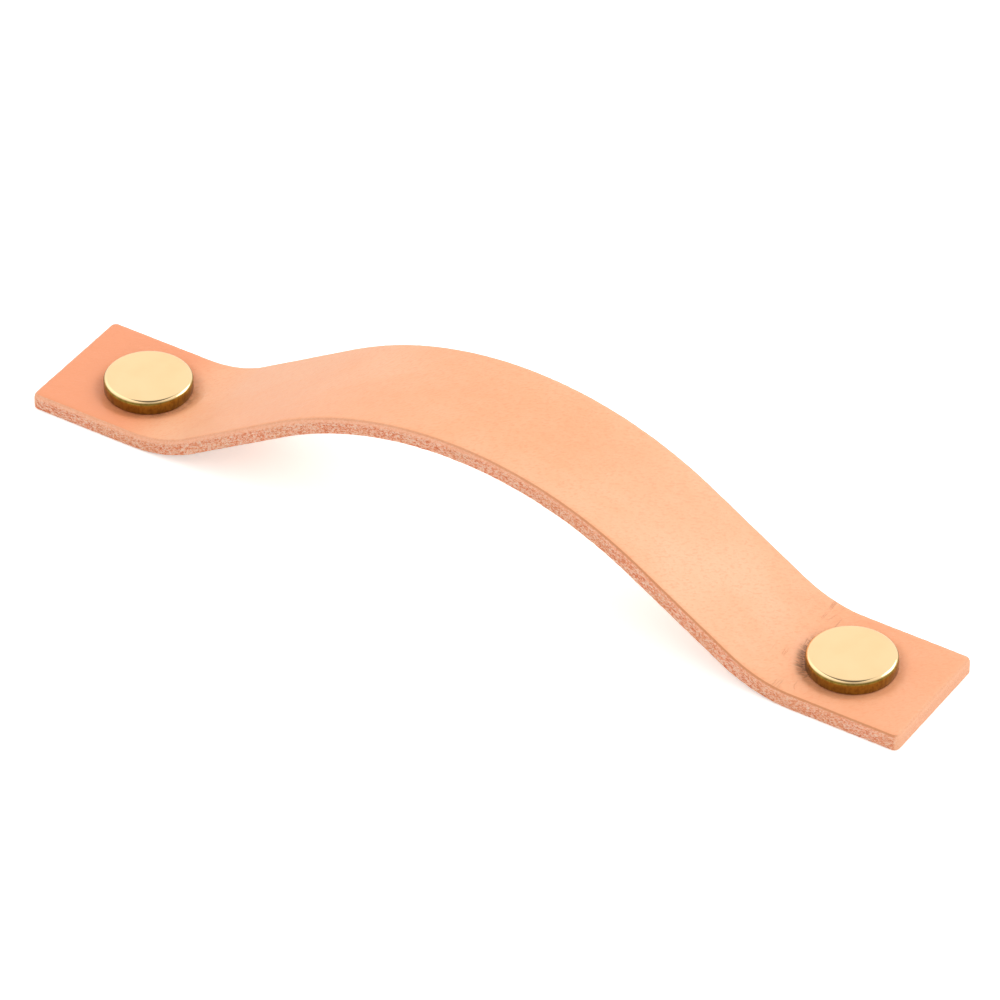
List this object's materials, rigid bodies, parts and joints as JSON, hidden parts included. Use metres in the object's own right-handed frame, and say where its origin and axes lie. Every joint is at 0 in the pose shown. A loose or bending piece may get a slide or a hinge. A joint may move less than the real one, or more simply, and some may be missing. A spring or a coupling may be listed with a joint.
{
  "type": "leather strap handle",
  "caption": "Arched leather strap handle for a drawer or cabinet front, held by round brass buttons that machine screws draw down from behind.",
  "frame": {"origin": "on the face of the drawer front, midway between the two fixing holes", "axes": "+X along the strap from hole to hole, +Y across the strap, +Z out of the front, through the crest of the arch"},
  "size_m": [0.157, 0.023, 0.0462],
  "materials": {
    "leather": "smooth natural vegetable-tanned grain, raw cut edges",
    "brass": "turned and polished, clear lacquer",
    "zinced_steel": "bright zinc plate"
  },
  "bodies": {
    "root": {"strap": "leather", "button_left": "brass", "button_right": "brass", "screw_left": "zinced_steel", "screw_right": "zinced_steel"}
  },
  "joints": []
}
